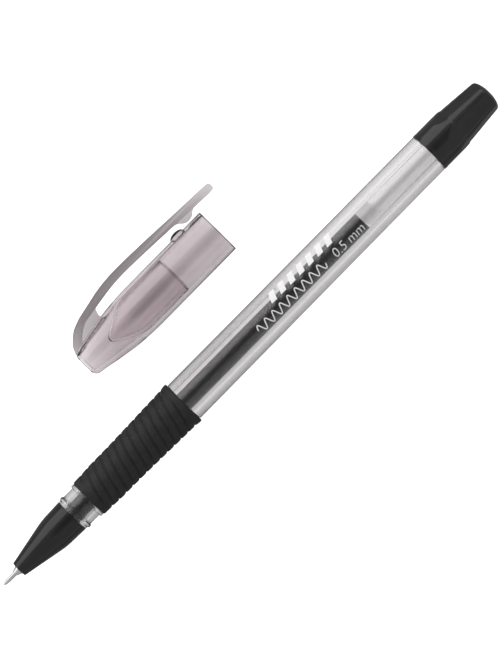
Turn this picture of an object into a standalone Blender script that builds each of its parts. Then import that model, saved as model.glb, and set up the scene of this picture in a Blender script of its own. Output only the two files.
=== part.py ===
"""Capped gel pen, shown open: the pen lies along X with its tip at the low end, its cap lies beside it.

Every size below is in millimetres and is measured along the pen from the point of the writing ball,
or outwards from the axis of the piece. place() turns them into metres in the shared frame, where the
whole object is centred on X = 0, Y = 0 and rests on Z = 0.
"""

import math

import bmesh
import bpy
from mathutils import Matrix, Vector

MM = 0.001

# ---- where things lie -------------------------------------------------------------------------
LENGTH = 144.2          # ball tip to the back of the end plug
LARGEST_R = 5.37        # grip flare and cap are the widest, so both axes lie this high
CAP_OFFSET = 20.05      # from the pen's axis to the cap's axis
CLIP_REACH = 9.53       # furthest point of the clip from the cap's axis
PEN_Y = -(CAP_OFFSET + CLIP_REACH - LARGEST_R) / 2
CAP_Y = PEN_Y + CAP_OFFSET

STEPS = 32              # facets round the large pieces
THIN_STEPS = 24         # facets round the refill
FINE_STEPS = 16         # facets round the metal tip
EDGE = 0.12             # how far back a turned edge starts to break
CUT_OVERRUN = 2.0       # how far a cutter runs past what it cuts

# ---- writing tip and refill -------------------------------------------------------------------
BALL_D = 0.5
BALL_FREE = 0.03        # clearance round the ball in its socket
LIP_AT, LIP_IN = 0.18, 0.01     # the rolled lip that keeps the ball in
SOCKET_END, SOCKET_CONE_END = 0.46, 0.60
NEEDLE_R, NEEDLE_BORE_R, NEEDLE_CONE_END, NEEDLE_END = 0.53, 0.14, 1.2, 7.5
HOLDER_START, HOLDER_END, HOLDER_R = 3.25, 10.4, 1.05
HOLDER_FLARE = ((HOLDER_START, 0.62), (3.45, 0.70), (4.35, HOLDER_R))
HOLDER_SEAT_GAP, HOLDER_FEED_R, SEAT_STEP = 0.02, 0.30, 0.2
ADAPTER_START, ADAPTER_FLANGE, ADAPTER_END = 8.6, 13.0, 19.0
ADAPTER_CONE = ((8.6, 1.55), (9.1, 1.75), (11.0, 2.0), (13.0, 2.1))
FLANGE_THICK, FLANGE_OUT_R, BARB_GAP, BARB_TAPER = 0.7, 2.3, 0.06, 0.3
ADAPTER_FEED_R, ADAPTER_SEAT_GAP = 0.75, 0.03
REFILL_R, REFILL_BORE_R = 2.15, 1.70
REFILL_START, REFILL_MIDDLE, REFILL_END = 13.85, 60.0, 129.5
INK_R, INK_START, INK_END = 1.66, 19.3, 106.4
INK_BULGE, INK_HOLLOW = 0.25, ((0.0, 1.0), (0.35, 0.6), (0.45, 0.0))    # hollow: (depth, share of INK_R)
FOLLOWER_GAP, FOLLOWER_END = 0.12, 110.0
FOLLOWER_HOLLOW = ((0.0, 1.0), (0.5, 0.6), (0.6, 0.0))

# ---- nose cone --------------------------------------------------------------------------------
NOSE_FRONT, NOSE_KNEE, NOSE_REAR = 4.46, 14.9, 20.3
NOSE_FRONT_R, NOSE_REAR_R = 1.78, 3.98
NOSE_TAPER = ((14.0, 3.67), (14.65, 3.79), (15.3, 3.82))
NOSE_HOLE_R, NOSE_SOCKET_R = 1.15, 3.36
NOSE_CAVITY = ((14.6, 2.75), (12.6, 2.62), (8.2, 1.95), (7.4, NOSE_HOLE_R))

# ---- barrel -----------------------------------------------------------------------------------
BORE_R, FRONT_BORE_R, BORE_STEP_START, BORE_STEP_END = 3.0, 2.75, 25.8, 26.5
TENON_R, TENON_START = 3.28, 15.3
COLLAR_START, COLLAR_R = 20.42, 3.98
BEAD_AT, BEAD_R, BEAD_TOP, BEAD_FOOT = 21.25, 4.27, 0.25, 0.5
FLANGE_AT, FLANGE_END, FLANGE_R = 24.4, 25.1, 4.42
GRIP_SEAT_R = 3.85
BODY_START, BODY_FRONT_R = 53.5, 4.83
BODY_END, BODY_REAR_R = 126.35, 4.70
REAR_TENON_R, REAR_TENON_END = 4.08, 132.9

# ---- grip sleeve ------------------------------------------------------------------------------
GRIP_START, GRIP_END, GRIP_BORE_R = 25.22, 53.38, 3.92
GRIP_OUTLINE = ((25.2, 4.45), (25.45, 4.60), (27.6, 4.66), (30.0, 4.80), (35.7, 4.82), (38.9, 4.89),
                (42.6, 4.98), (46.4, 5.09), (50.1, 5.18), (51.9, 5.24), (52.7, 5.37), (53.2, 5.37),
                (53.4, 5.28))
FLARE_TOP = 52.6
GROOVE_FIRST, GROOVE_PITCH = 27.6, 2.0
GROOVE_IN, GROOVE_OUT = (26.4, 27.0), (51.9, 52.5)      # where the grooves fade in and out
GROOVE_STARTS, GROOVE_HALF_WIDTH, GROOVE_DEPTH = 4, 0.42, 0.30

# ---- end plug ---------------------------------------------------------------------------------
PLUG_START, PLUG_R, PLUG_RIM_R = 126.5, 4.75, 4.80
PLUG_OUTLINE = ((126.5, 4.70), (126.6, PLUG_RIM_R), (127.2, PLUG_RIM_R), (127.4, PLUG_R), (131.4, PLUG_R),
                (132.2, PLUG_R), (133.0, 4.74), (133.65, 4.72), (134.05, 4.50), (137.0, 4.27),
                (140.0, 4.02), (142.9, 3.77), (143.35, 3.50), (143.75, 2.80), (144.05, 1.60))
PLUG_SOCKET_R, PLUG_SOCKET_END, PLUG_HOLLOW_R, PLUG_HOLLOW_END, PLUG_STEP = 4.15, 133.2, 2.85, 140.6, 0.3
FLAT_COUNT, FLAT_TURN = 6, math.radians(-13.5)
FLAT_DISTANCE = ((131.0, 4.75), (133.6, 4.36), (139.2, 3.80), (142.9, 3.50), (143.35, 3.35), (143.75, 2.70),
                 (144.05, 1.55))        # how far each flat lies from the axis
FLAT_LEAST_ANGLE = math.radians(3)
LAND_POINTS = 4                         # facets of each round land between two flats

# ---- cap --------------------------------------------------------------------------------------
CAP_CLOSED, CAP_MOUTH, CAP_R = 44.4, 83.9, 5.37
CAP_TAPER = ((61.6, 5.37), (59.5, 5.31), (55.3, 5.03), (51.2, 4.36), (48.0, 3.72), (45.4, 3.30),
             (44.8, 2.90), (44.4, 2.20))
CAP_BORE_R = 4.47
CAP_BORE_TAPER = ((58.0, 4.47), (52.6, 3.35), (48.6, 2.85), (46.4, 2.50), (45.3, 2.2), (44.95, 1.5))
CAP_BORE_END = 44.9
LINER_MOUTH, LINER_R, LINER_BORE_R = 70.9, 4.39, 3.62
LINER_NOSE = ((51.8, 0.0), (51.95, 0.5), (53.6, 1.8), (55.7, 3.1), (58.0, 4.05), (60.0, LINER_R))
LINER_CAVITY = ((62.0, 3.60), (60.0, 3.50), (58.0, 3.15), (55.9, 2.25), (54.0, 1.05), (53.0, 0.3),
                (52.9, 0.0))
NUB_AT, NUB_HALF_LENGTH, NUB_RISE, NUB_HALF_WIDTH, NUB_SINK = 77.1, 1.75, 0.80, 1.45, 0.05

# ---- clip: (position along the pen, distance from the cap's axis) -----------------------------
CLIP_WIDTH, WEB_WIDTH = 3.6, 1.5
CLIP_NARROWING = ((74.0, 1.0), (80.4, 0.76), (84.5, 0.58), (88.0, 0.40), (89.7, 0.24))
CLIP_CUT, CLIP_CUT_GAP, CLIP_HINGE_AT, CLIP_BEVEL = 54.6, 0.15, 7.7, 0.22
CLIP_OUTER = ((44.45, 1.4), (44.55, 2.4), (45.3, 4.3), (46.3, 5.4), (48.0, 6.72), (50.3, 7.62),
              (52.4, 8.10), (CLIP_CUT, 8.55))
CLIP_INNER = ((CLIP_CUT, 6.84), (52.4, 6.52), (50.3, 5.98), (48.0, 4.4), (46.8, 2.9), (45.6, 1.4))
ARM_OUTER = ((54.75, 8.58), (57.0, 9.05), (59.6, 9.38), (62.0, 9.52), (65.3, 9.53), (72.0, 9.28),
             (77.9, 8.98), (82.9, 8.76), (88.6, 8.55), (89.45, 8.36), (89.7, 7.9))
ARM_INNER = ((89.7, 7.2), (89.45, 6.85), (88.6, 6.72), (82.9, 6.95), (77.9, 7.20), (72.0, 7.50),
             (65.3, 7.75), (62.0, 7.72), (59.6, 7.56), (57.0, 7.22), (54.75, 6.88))
WEB_OUTLINE = ((45.2, 1.6), (46.6, 4.2), (48.0, 5.4), (50.3, 6.7), (52.4, 7.2), (54.45, 7.4),
               (54.45, 6.9), (54.1, 6.1), (53.9, 5.5), (54.0, 4.5), (51.2, 4.0), (48.0, 3.2),
               (45.4, 1.5))
PAD_AT, PAD_LOW, PAD_RISE, PAD_HALF_LENGTH, PAD_HALF_WIDTH = 80.7, 5.67, 1.65, 2.55, 1.0

# name: (colour, opacity, roughness, metallic)
MATERIALS = {
    "clear_plastic": ((0.86, 0.87, 0.88), 0.35, 0.08, 0.0),
    "smoke_plastic": ((0.52, 0.47, 0.48), 0.55, 0.12, 0.0),
    "smoke_clip": ((0.40, 0.37, 0.38), 0.70, 0.15, 0.0),
    "smoke_liner": ((0.58, 0.53, 0.54), 0.60, 0.20, 0.0),
    "black_gloss": ((0.012, 0.012, 0.014), 1.0, 0.18, 0.0),
    "black_cone": ((0.014, 0.014, 0.016), 1.0, 0.22, 0.0),
    "black_rubber": ((0.020, 0.020, 0.022), 1.0, 0.62, 0.0),
    "refill_plastic": ((0.80, 0.80, 0.78), 0.55, 0.30, 0.0),
    "adapter_plastic": ((0.72, 0.72, 0.70), 1.0, 0.35, 0.0),
    "black_ink": ((0.004, 0.004, 0.006), 1.0, 0.10, 0.0),
    "follower_gel": ((0.62, 0.58, 0.48), 0.70, 0.15, 0.0),
    "tip_steel": ((0.55, 0.55, 0.56), 1.0, 0.28, 1.0),
    "holder_steel": ((0.60, 0.59, 0.57), 1.0, 0.32, 1.0),
    "ball_carbide": ((0.30, 0.30, 0.32), 1.0, 0.15, 1.0),
}


def place(along, y=0.0, z=0.0, axis_y=PEN_Y):
    """A point in metres, from millimetres along the pen and off the axis that lies at axis_y."""
    return Vector((along - LENGTH / 2, axis_y + y, LARGEST_R + z)) * MM


def clear_scene():
    for old in list(bpy.data.objects):
        bpy.data.objects.remove(old, do_unlink=True)


def make_material(name):
    colour, opacity, roughness, metallic = MATERIALS[name]
    material = bpy.data.materials.new(name)
    material.use_nodes = True
    shader = material.node_tree.nodes["Principled BSDF"]
    shader.inputs["Base Color"].default_value = (*colour, 1.0)
    shader.inputs["Alpha"].default_value = opacity
    shader.inputs["Roughness"].default_value = roughness
    shader.inputs["Metallic"].default_value = metallic
    material.diffuse_color = (*colour, opacity)
    return material


def finish_object(name, bm, origin, material=None, crease=35):
    """Makes the named object from a bmesh built in world metres, with its own origin."""
    bmesh.ops.recalc_face_normals(bm, faces=bm.faces[:])
    bmesh.ops.translate(bm, verts=bm.verts[:], vec=-origin)
    mesh = bpy.data.meshes.new(name)
    bm.to_mesh(mesh)
    bm.free()
    mesh.shade_smooth()
    mesh.set_sharp_from_angle(angle=math.radians(crease))
    thing = bpy.data.objects.new(name, mesh)
    thing.location = origin
    bpy.context.scene.collection.objects.link(thing)
    if material:
        mesh.materials.append(make_material(material))
    return thing


def spun(profile, steps, axis_y=PEN_Y, closed=True):
    """A bmesh turned about an axis along X from (along, radius) points. An open profile starts and
    ends on the axis."""
    bm = bmesh.new()
    verts = [bm.verts.new(place(along, 0.0, radius, axis_y)) for along, radius in profile]
    count = len(verts) if closed else len(verts) - 1
    edges = [bm.edges.new((verts[i], verts[(i + 1) % len(verts)])) for i in range(count)]
    bmesh.ops.spin(bm, geom=verts + edges, cent=place(0, 0, 0, axis_y), axis=(1, 0, 0), dvec=(0, 0, 0),
                   angle=2 * math.pi, steps=steps, use_merge=False, use_duplicate=False)
    bmesh.ops.remove_doubles(bm, verts=bm.verts[:], dist=1e-7)
    bmesh.ops.dissolve_degenerate(bm, edges=bm.edges[:], dist=1e-8)
    return bm


def slab(outline, width, axis_y, bevel=0.0):
    """A flat bar: an outline in the XY plane, extruded to the width along Z about the axis height."""
    bm = bmesh.new()
    low = [bm.verts.new(place(along, out, -width / 2, axis_y)) for along, out in outline]
    face = bm.faces.new(low)
    made = bmesh.ops.extrude_face_region(bm, geom=[face])
    top = [item for item in made["geom"] if isinstance(item, bmesh.types.BMVert)]
    bmesh.ops.translate(bm, verts=top, vec=(0, 0, width * MM))
    bmesh.ops.recalc_face_normals(bm, faces=bm.faces[:])
    if bevel:
        rims = [edge for edge in bm.edges if abs(edge.verts[0].co.z - edge.verts[1].co.z) < 1e-7]
        bmesh.ops.bevel(bm, geom=rims, offset=bevel * MM, segments=1, profile=0.5, affect="EDGES")
    return bm


def narrow(bm, table):
    """Draws a bar in towards the height of the axes, by the share the table gives along the pen."""
    for vert in bm.verts:
        along = vert.co.x / MM + LENGTH / 2
        height = LARGEST_R * MM
        vert.co.z = height + (vert.co.z - height) * between(table, along)


def ellipsoid(centre, radii, rings=8, spokes=12):
    bm = bmesh.new()
    size = Matrix.Diagonal((radii[0] * MM, radii[1] * MM, radii[2] * MM, 1.0))
    bmesh.ops.create_uvsphere(bm, u_segments=spokes, v_segments=rings, radius=1.0,
                              matrix=Matrix.Translation(centre) @ size)
    return bm


def cutter(name, bm):
    tool = finish_object(name, bm, Vector((0, 0, 0)))
    tool.hide_render = True
    tool.display_type = "WIRE"
    return tool


def combine(thing, tool, operation):
    boolean = thing.modifiers.new(tool.name, "BOOLEAN")
    boolean.object = tool
    boolean.operation = operation
    boolean.solver = "EXACT"


def between(table, at):
    """The value at a place in a table of (place, value) rows, straight between the rows."""
    if at <= table[0][0]:
        return table[0][1]
    for (a, low), (b, high) in zip(table, table[1:]):
        if at <= b:
            return low + (high - low) * (at - a) / (b - a)
    return table[-1][1]


def smooth(start, end, at):
    t = min(1.0, max(0.0, (at - start) / (end - start)))
    return t * t * (3 - 2 * t)


# ---- writing tip ------------------------------------------------------------------------------
def build_writing_ball():
    bm = ellipsoid(place(BALL_D / 2), (BALL_D / 2,) * 3, rings=10, spokes=FINE_STEPS)
    return finish_object("writing_ball", bm, place(BALL_D / 2), "ball_carbide", crease=180)


def build_needle_tube():
    socket_r = BALL_D / 2 + BALL_FREE
    profile = (
        (LIP_AT, socket_r - LIP_IN), (LIP_AT, socket_r + BALL_FREE), (NEEDLE_CONE_END, NEEDLE_R),
        (NEEDLE_END, NEEDLE_R), (NEEDLE_END, NEEDLE_BORE_R), (SOCKET_CONE_END, NEEDLE_BORE_R),
        (SOCKET_END, socket_r), (BALL_D / 2, socket_r),
    )
    return finish_object("needle_tube", spun(profile, FINE_STEPS), place(0), "tip_steel")


def build_needle_holder():
    bore = NEEDLE_R + HOLDER_SEAT_GAP
    profile = (
        (HOLDER_START, bore), *HOLDER_FLARE, (HOLDER_END, HOLDER_R), (HOLDER_END, HOLDER_FEED_R),
        (NEEDLE_END + SEAT_STEP, HOLDER_FEED_R), (NEEDLE_END + SEAT_STEP, bore),
    )
    return finish_object("needle_holder", spun(profile, FINE_STEPS), place(HOLDER_START), "holder_steel")


# ---- refill -----------------------------------------------------------------------------------
def build_refill_adapter():
    barb = REFILL_BORE_R - BARB_GAP
    seat = HOLDER_R + ADAPTER_SEAT_GAP
    flange_back = ADAPTER_FLANGE + FLANGE_THICK
    profile = (
        (ADAPTER_START, seat), *ADAPTER_CONE, (ADAPTER_FLANGE, FLANGE_OUT_R), (flange_back, FLANGE_OUT_R),
        (flange_back, barb), (ADAPTER_END - 2 * BARB_TAPER, barb), (ADAPTER_END, barb - BARB_TAPER),
        (ADAPTER_END, ADAPTER_FEED_R), (HOLDER_END + SEAT_STEP, ADAPTER_FEED_R),
        (HOLDER_END + SEAT_STEP, seat),
    )
    return finish_object("refill_adapter", spun(profile, THIN_STEPS), place(ADAPTER_START), "adapter_plastic")


def build_refill_tube():
    profile = (
        (REFILL_START, REFILL_BORE_R), (REFILL_START, REFILL_R), (REFILL_MIDDLE, REFILL_R),
        (REFILL_END, REFILL_R), (REFILL_END, REFILL_BORE_R), (REFILL_MIDDLE, REFILL_BORE_R),
    )
    return finish_object("refill_tube", spun(profile, THIN_STEPS), place(REFILL_START), "refill_plastic")


def build_ink_column():
    profile = ((INK_START + INK_BULGE, 0.0), (INK_START, INK_R), (REFILL_MIDDLE, INK_R),
               *((INK_END - depth, INK_R * share) for depth, share in INK_HOLLOW))
    bm = spun(profile, THIN_STEPS, closed=False)
    return finish_object("ink_column", bm, place(INK_START), "black_ink")


def build_ink_follower():
    start = INK_END + FOLLOWER_GAP
    profile = (*((start - depth, INK_R * share) for depth, share in reversed(INK_HOLLOW)),
               *((FOLLOWER_END - depth, INK_R * share) for depth, share in FOLLOWER_HOLLOW))
    bm = spun(profile, THIN_STEPS, closed=False)
    return finish_object("ink_follower", bm, place(start), "follower_gel")


# ---- nose cone --------------------------------------------------------------------------------
def build_nose_cone():
    profile = (
        (NOSE_FRONT, NOSE_HOLE_R), (NOSE_FRONT, NOSE_FRONT_R - EDGE), (NOSE_FRONT + EDGE, NOSE_FRONT_R),
        *NOSE_TAPER, (NOSE_REAR - EDGE, NOSE_REAR_R), (NOSE_REAR, NOSE_REAR_R - EDGE),
        (NOSE_REAR, NOSE_SOCKET_R), (NOSE_KNEE, NOSE_SOCKET_R), *NOSE_CAVITY,
    )
    return finish_object("nose_cone", spun(profile, STEPS), place(NOSE_FRONT), "black_cone", crease=25)


# ---- barrel -----------------------------------------------------------------------------------
def build_barrel_tube():
    profile = (
        (TENON_START, FRONT_BORE_R), (TENON_START, TENON_R - EDGE), (TENON_START + EDGE, TENON_R),
        (COLLAR_START, TENON_R), (COLLAR_START, COLLAR_R), (BEAD_AT - BEAD_FOOT, COLLAR_R),
        (BEAD_AT - BEAD_TOP, BEAD_R), (BEAD_AT + BEAD_TOP, BEAD_R), (BEAD_AT + BEAD_FOOT, COLLAR_R),
        (FLANGE_AT, COLLAR_R), (FLANGE_AT, FLANGE_R - EDGE), (FLANGE_AT + EDGE, FLANGE_R),
        (FLANGE_END - EDGE, FLANGE_R), (FLANGE_END, FLANGE_R - EDGE), (FLANGE_END, GRIP_SEAT_R),
        (BODY_START, GRIP_SEAT_R), (BODY_START, BODY_FRONT_R - EDGE), (BODY_START + EDGE, BODY_FRONT_R),
        (BODY_END - EDGE, BODY_REAR_R), (BODY_END, BODY_REAR_R - EDGE), (BODY_END, REAR_TENON_R),
        (REAR_TENON_END - 2 * EDGE, REAR_TENON_R), (REAR_TENON_END, REAR_TENON_R - 2 * EDGE),
        (REAR_TENON_END, BORE_R), (BORE_STEP_END, BORE_R), (BORE_STEP_START, FRONT_BORE_R),
    )
    return finish_object("barrel_tube", spun(profile, STEPS), place(COLLAR_START), "clear_plastic")


# ---- grip sleeve: diagonal grooves, four starts, wound left-handed ----------------------------
def build_grip_sleeve():
    lead = GROOVE_STARTS * GROOVE_PITCH
    rows = []
    at = GROOVE_FIRST - 2 * GROOVE_PITCH
    while at < GRIP_END + lead + 2 * GROOVE_PITCH:
        rows += [at - GROOVE_HALF_WIDTH, at, at + GROOVE_HALF_WIDTH]
        at += GROOVE_PITCH
    wrap = 3 * GROOVE_STARTS
    bm = bmesh.new()
    grid = []
    for step in range(STEPS):
        turn = 2 * math.pi * step / STEPS
        shift = lead * step / STEPS
        grid.append([
            bm.verts.new(place(row - shift, math.cos(turn), math.sin(turn))) for row in rows
        ])
    for step in range(STEPS):
        last = step == STEPS - 1
        here, there = grid[step], grid[0] if last else grid[step + 1]
        back = wrap if last else 0
        for k in range(back, len(rows) - 1):
            bm.faces.new((here[k], here[k + 1], there[k + 1 - back], there[k - back]))
    for along, side in ((GRIP_START, -1), (GRIP_START + 2 * EDGE, 0), (FLARE_TOP, 0),
                        (GRIP_END - 2 * EDGE, 0), (GRIP_END, 1)):
        bmesh.ops.bisect_plane(bm, geom=bm.verts[:] + bm.edges[:] + bm.faces[:], dist=1e-8,
                               plane_co=place(along), plane_no=(side or 1, 0, 0), clear_outer=bool(side))
    axis = place(0)
    for vert in bm.verts:
        along = vert.co.x / MM + LENGTH / 2
        y, z = vert.co.y - axis.y, vert.co.z - axis.z
        turn = math.atan2(z, y) % (2 * math.pi)
        phase = (along + lead * turn / (2 * math.pi) - GROOVE_FIRST) % GROOVE_PITCH
        off = min(phase, GROOVE_PITCH - phase)
        fade = smooth(*GROOVE_IN, along) * (1 - smooth(*GROOVE_OUT, along))
        radius = between(GRIP_OUTLINE, along)
        radius -= GROOVE_DEPTH * fade * max(0.0, 1 - off / GROOVE_HALF_WIDTH)
        scale = radius * MM / math.hypot(y, z)
        vert.co.y, vert.co.z = axis.y + y * scale, axis.z + z * scale
    for along in (GRIP_START, GRIP_END):
        plane = place(along).x
        rim = [edge for edge in bm.edges if edge.is_boundary
               and all(abs(vert.co.x - plane) < 1e-6 for vert in edge.verts)]
        bmesh.ops.contextual_create(bm, geom=rim)
    sleeve = finish_object("grip_sleeve", bm, place(GRIP_START), "black_rubber", crease=50)
    front, back = GRIP_START - CUT_OVERRUN, GRIP_END + CUT_OVERRUN
    bore = ((front, 0.0), (front, GRIP_BORE_R), (back, GRIP_BORE_R), (back, 0.0))
    combine(sleeve, cutter("grip_bore_cutter", spun(bore, STEPS, closed=False)), "DIFFERENCE")
    return sleeve


# ---- end plug: a round skirt whose taper is cut by leaning flats ------------------------------
def plug_ring(bm, along, radius, flats=True):
    """One ring of points: five across each flat, some on the land beside it, or a plain ring evenly."""
    slot = 2 * math.pi / FLAT_COUNT
    flat, half = radius, slot * 2 / (4 + LAND_POINTS)
    if flats:
        flat = between(FLAT_DISTANCE, along)
        half = max(math.acos(min(1.0, flat / radius)), FLAT_LEAST_ANGLE)
    land = slot - 2 * half
    turns = [half * share for share in (-1.0, -0.5, 0.0, 0.5, 1.0)]
    turns += [half + land * (k + 1) / LAND_POINTS for k in range(LAND_POINTS - 1)]
    ring = []
    for k in range(FLAT_COUNT):
        for off in turns:
            turn = FLAT_TURN + slot * k + off
            reach = radius if off > half else min(radius, flat / math.cos(off))
            ring.append(bm.verts.new(place(along, reach * math.sin(turn), reach * math.cos(turn))))
    return ring


def build_end_plug():
    bm = bmesh.new()
    inside = ((PLUG_HOLLOW_END, PLUG_HOLLOW_R), (PLUG_SOCKET_END + PLUG_STEP, PLUG_HOLLOW_R),
              (PLUG_SOCKET_END, PLUG_SOCKET_R), (PLUG_START, PLUG_SOCKET_R))
    rings = [plug_ring(bm, along, radius, flats=False) for along, radius in inside]
    rings += [plug_ring(bm, along, radius) for along, radius in PLUG_OUTLINE]
    for first, second in zip(rings, rings[1:]):
        for k in range(len(first)):
            m = (k + 1) % len(first)
            bm.faces.new((first[k], first[m], second[m], second[k]))
    for loop, tip in ((rings[0], PLUG_HOLLOW_END + 2 * PLUG_STEP), (rings[-1], LENGTH)):
        point = bm.verts.new(place(tip))
        for k in range(len(loop)):
            bm.faces.new((loop[k], loop[(k + 1) % len(loop)], point))
    return finish_object("end_plug", bm, place(PLUG_START), "black_gloss", crease=14)


# ---- cap --------------------------------------------------------------------------------------
def build_cap_shell():
    profile = [(CAP_CLOSED, 0.0), *reversed(CAP_TAPER), (CAP_MOUTH - EDGE, CAP_R), (CAP_MOUTH, CAP_R - EDGE),
               (CAP_MOUTH, CAP_BORE_R + EDGE), (CAP_MOUTH - 2 * EDGE, CAP_BORE_R), *CAP_BORE_TAPER,
               (CAP_BORE_END, 0.0)]
    bm = spun(profile, STEPS, CAP_Y, closed=False)
    shell = finish_object("cap_shell", bm, place(CAP_MOUTH, axis_y=CAP_Y), "smoke_plastic")
    combine(shell, cutter("clip_root_band", slab(CLIP_OUTER + CLIP_INNER, CLIP_WIDTH, CAP_Y)), "UNION")
    combine(shell, cutter("clip_root_web", slab(WEB_OUTLINE, WEB_WIDTH, CAP_Y)), "UNION")
    nub_centre = place(NUB_AT, CAP_R - NUB_SINK, 0, CAP_Y)
    nub = ellipsoid(nub_centre, (NUB_HALF_LENGTH, NUB_RISE + NUB_SINK, NUB_HALF_WIDTH))
    combine(shell, cutter("cap_nub", nub), "UNION")
    return shell


def build_cap_liner():
    profile = (*LINER_NOSE, (LINER_MOUTH, LINER_R), (LINER_MOUTH, LINER_BORE_R + 0.15),
               (LINER_MOUTH - 0.4, LINER_BORE_R), *LINER_CAVITY)
    bm = spun(profile, STEPS, CAP_Y, closed=False)
    return finish_object("cap_liner", bm, place(LINER_MOUTH, axis_y=CAP_Y), "smoke_liner")


def build_cap_clip():
    bm = slab(ARM_OUTER + ARM_INNER, CLIP_WIDTH, CAP_Y, CLIP_BEVEL)
    narrow(bm, CLIP_NARROWING)
    hinge = place(CLIP_CUT + CLIP_CUT_GAP, CLIP_HINGE_AT, 0, CAP_Y)
    arm = finish_object("cap_clip", bm, hinge, "smoke_clip")
    pad = ellipsoid(place(PAD_AT, PAD_LOW + PAD_RISE, 0, CAP_Y), (PAD_HALF_LENGTH, PAD_RISE, PAD_HALF_WIDTH),
                    rings=10, spokes=14)
    combine(arm, cutter("clip_pad", pad), "UNION")
    return arm


clear_scene()
build_writing_ball()
build_needle_tube()
build_needle_holder()
build_refill_adapter()
build_refill_tube()
build_ink_column()
build_ink_follower()
build_nose_cone()
build_barrel_tube()
build_grip_sleeve()
build_end_plug()
build_cap_shell()
build_cap_liner()
build_cap_clip()
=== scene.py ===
import math

import bmesh
import bpy
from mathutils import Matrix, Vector


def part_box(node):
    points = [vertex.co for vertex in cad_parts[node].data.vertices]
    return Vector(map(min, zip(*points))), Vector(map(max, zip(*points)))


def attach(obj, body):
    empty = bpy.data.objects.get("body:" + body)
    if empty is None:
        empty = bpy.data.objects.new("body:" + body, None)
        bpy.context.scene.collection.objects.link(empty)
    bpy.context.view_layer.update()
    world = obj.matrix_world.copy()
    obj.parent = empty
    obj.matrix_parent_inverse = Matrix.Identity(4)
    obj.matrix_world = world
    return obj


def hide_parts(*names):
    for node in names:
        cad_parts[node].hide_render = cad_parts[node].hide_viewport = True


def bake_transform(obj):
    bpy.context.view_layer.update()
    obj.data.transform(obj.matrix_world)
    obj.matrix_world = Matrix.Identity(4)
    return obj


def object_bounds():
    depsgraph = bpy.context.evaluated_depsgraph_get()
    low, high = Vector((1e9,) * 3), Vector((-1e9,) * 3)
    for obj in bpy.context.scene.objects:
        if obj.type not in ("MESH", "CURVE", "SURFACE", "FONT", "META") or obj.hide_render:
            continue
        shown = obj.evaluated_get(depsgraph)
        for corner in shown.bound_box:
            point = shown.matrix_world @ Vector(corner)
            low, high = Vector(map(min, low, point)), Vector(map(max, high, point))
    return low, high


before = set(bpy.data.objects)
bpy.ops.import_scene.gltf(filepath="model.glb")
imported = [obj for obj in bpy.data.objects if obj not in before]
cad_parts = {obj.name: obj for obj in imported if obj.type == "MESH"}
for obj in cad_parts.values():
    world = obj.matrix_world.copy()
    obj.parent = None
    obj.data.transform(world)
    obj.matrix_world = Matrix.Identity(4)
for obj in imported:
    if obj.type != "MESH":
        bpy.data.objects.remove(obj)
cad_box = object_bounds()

# Looks of the opened gel pen and its cap. Lengths are in millimetres. "Along" runs from the writing ball
# towards the end plug, and y and z are measured from the axis of the pen or of the cap.
MM = 0.001
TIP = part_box("writing_ball")[0].x


def middle(node):
    """The middle of a CAD node's box."""
    low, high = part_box(node)
    return (low + high) / 2


PEN = middle("barrel_tube")
CAP = middle("cap_liner")


def spot(along, y=0.0, z=0.0, axis=PEN):
    """A point of the frame from millimetres along an axis and off it."""
    return Vector((TIP + along * MM, axis.y + y * MM, axis.z + z * MM))


def smooth(start, end, at):
    """Rises from 0 at start to 1 at end, with no kink."""
    t = min(1.0, max(0.0, (at - start) / (end - start)))
    return t * t * (3 - 2 * t)


def between(table, at):
    """The value at a place in a table of (place, value) rows, with straight lines between them."""
    if at <= table[0][0]:
        return table[0][1]
    for (a, low), (b, high) in zip(table, table[1:]):
        if at <= b:
            return low + (high - low) * (at - a) / (b - a)
    return table[-1][1]


# ---- materials --------------------------------------------------------------------------------
COLLAR_END = 25.1
FLOOR_GLOW = 0.38          # light that the floor gives off itself, as a light table does
FLOOR_EXPOSURE = 0.70      # how much brighter the bare floor is where the camera sees it
FLOOR_REFLECTED = 0.28     # how pale the floor looks in a reflection


def new_material(name, **values):
    """A material whose Principled sockets take the given values; an underscore stands for a space."""
    material = bpy.data.materials.new(name)
    material.use_nodes = True
    tree = material.node_tree
    bsdf = tree.nodes["Principled BSDF"]
    for key, value in values.items():
        bsdf.inputs[key.replace("_", " ")].default_value = value
    return material, tree, bsdf


def noise(tree, scale, stretch=(1, 1, 1), detail=3.0, rough=0.55):
    """A noise value from 0 to 1, in object coordinates; scale is in marks per metre."""
    coordinates = tree.nodes.new("ShaderNodeTexCoord")
    mapping = tree.nodes.new("ShaderNodeMapping")
    mapping.inputs["Scale"].default_value = stretch
    texture = tree.nodes.new("ShaderNodeTexNoise")
    texture.inputs["Scale"].default_value = scale
    texture.inputs["Detail"].default_value = detail
    texture.inputs["Roughness"].default_value = rough
    tree.links.new(coordinates.outputs["Object"], mapping.inputs["Vector"])
    tree.links.new(mapping.outputs["Vector"], texture.inputs["Vector"])
    return texture.outputs["Fac"]


def spread(tree, value, low, high, start=0.3, end=0.7):
    """The value spread from start..end onto low..high."""
    node = tree.nodes.new("ShaderNodeMapRange")
    node.inputs["From Min"].default_value = start
    node.inputs["From Max"].default_value = end
    node.inputs["To Min"].default_value = low
    node.inputs["To Max"].default_value = high
    tree.links.new(value, node.inputs["Value"])
    return node.outputs["Result"]


def tint(tree, value, dark, light, start=0.3, end=0.7):
    """A colour that goes from dark to light as the value goes from start to end."""
    ramp = tree.nodes.new("ShaderNodeValToRGB")
    ramp.color_ramp.elements[0].position = start
    ramp.color_ramp.elements[0].color = (*dark, 1)
    ramp.color_ramp.elements[1].position = end
    ramp.color_ramp.elements[1].color = (*light, 1)
    tree.links.new(value, ramp.inputs["Fac"])
    return ramp.outputs["Color"]


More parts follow.
